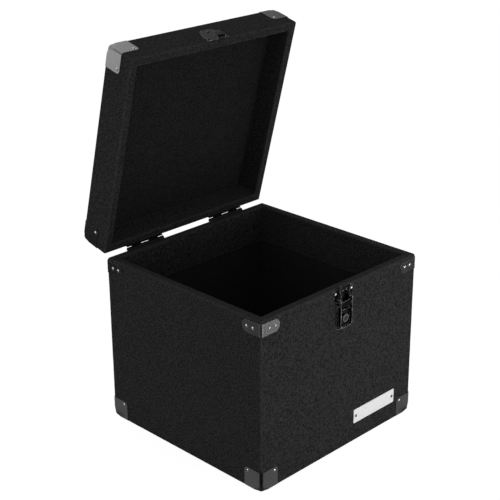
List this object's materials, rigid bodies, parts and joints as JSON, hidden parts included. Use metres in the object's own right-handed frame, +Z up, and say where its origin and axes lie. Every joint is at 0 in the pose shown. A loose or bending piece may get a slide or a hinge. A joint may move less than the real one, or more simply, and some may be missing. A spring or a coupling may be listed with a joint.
{
  "type": "record carrying case",
  "caption": "Box-shaped carrying case for vinyl records with a hinged lid standing open, black carpet covering, metal corners, a locking draw latch and a folding handle.",
  "frame": {"origin": "centre of the base's outline on the floor, on the carpet under the bottom", "axes": "+Z up, -Y out of the front with the latch, +X to the right as the front is seen, the lid hinged at +Y"},
  "size_m": [0.3688, 0.4225, 0.6513],
  "materials": {
    "plywood": "raw",
    "carpet": "short pile",
    "dark_felt": "felted",
    "gunmetal": "black plated, satin",
    "bright_screws": "bright",
    "latch_metal": "dark plated, polished",
    "lock_metal": "polished",
    "nameplate_metal": "satin",
    "handle_plastic": "moulded"
  },
  "bodies": {
    "base": {"base_front_panel": "plywood", "base_rear_panel": "plywood", "base_left_panel": "plywood", "base_right_panel": "plywood", "base_bottom_panel": "plywood", "base_cover": "carpet", "base_underside": "carpet", "base_lining": "dark_felt", "floor_pad": "dark_felt", "base_guard_front_left": "gunmetal", "base_guard_front_right": "gunmetal", "base_guard_rear_left": "gunmetal", "base_guard_rear_right": "gunmetal", "base_guard_screws": "bright_screws", "rim_bracket_front_left": "gunmetal", "rim_bracket_front_right": "gunmetal", "rim_bracket_rear_left": "gunmetal", "rim_bracket_rear_right": "gunmetal", "rim_bracket_screws": "bright_screws", "base_leaf_left": "gunmetal", "base_leaf_right": "gunmetal", "hinge_pins": "bright_screws", "base_leaf_screws": "bright_screws", "latch_plate": "latch_metal", "latch_plate_screws": "bright_screws", "lever_pivots": "bright_screws", "nameplate": "nameplate_metal", "nameplate_screws": "bright_screws"},
    "lever": {"latch_lever": "latch_metal", "claw_pin": "bright_screws", "lock_housing": "latch_metal"},
    "lock": {"lock_cylinder": "lock_metal", "lock_cam": "lock_metal"},
    "claw": {"latch_claw": "latch_metal"},
    "lid": {"lid_top_panel": "plywood", "lid_front_panel": "plywood", "lid_rear_panel": "plywood", "lid_left_panel": "plywood", "lid_right_panel": "plywood", "lid_cover": "carpet", "lid_lining": "carpet", "lid_guard_front_left": "gunmetal", "lid_guard_front_right": "gunmetal", "lid_guard_rear_left": "gunmetal", "lid_guard_rear_right": "gunmetal", "lid_guard_screws": "bright_screws", "lid_leaf_left": "gunmetal", "lid_leaf_right": "gunmetal", "lid_leaf_screws": "bright_screws", "keeper": "latch_metal", "keeper_screws": "bright_screws", "handle_bracket_left": "gunmetal", "handle_bracket_right": "gunmetal", "handle_bracket_rivets": "bright_screws", "handle_pins": "bright_screws"},
    "handle": {"handle": "handle_plastic"}
  },
  "joints": [
    {"name": "lid_hinge", "type": "hinge", "parent": "base", "child": "lid", "pos_m": [0, 0.1808, 0.2909], "axis": [-1, 0, 0], "range_deg": [-75.34, 104.66]},
    {"name": "lever_pivot", "type": "hinge", "parent": "base", "child": "lever", "pos_m": [0, -0.1815, 0.2712], "axis": [-1, 0, 0], "range_deg": [0, 150]},
    {"name": "claw_pivot", "type": "hinge", "parent": "lever", "child": "claw", "pos_m": [0, -0.1814, 0.2622], "axis": [1, 0, 0], "range_deg": [0, 162]},
    {"name": "lock_turn", "type": "hinge", "parent": "lever", "child": "lock", "pos_m": [0, -0.1814, 0.2405], "axis": [0, -1, 0], "range_deg": [0, 90]},
    {"name": "handle_fold", "type": "hinge", "parent": "lid", "child": "handle", "pos_m": [0, 0.20151, 0.4832], "axis": [1, 0, 0], "range_deg": [0, 180]}
  ],
  "couplings": [
    {"joint": "claw_pivot", "follows": "lever_pivot", "ratio": 1.08}
  ]
}
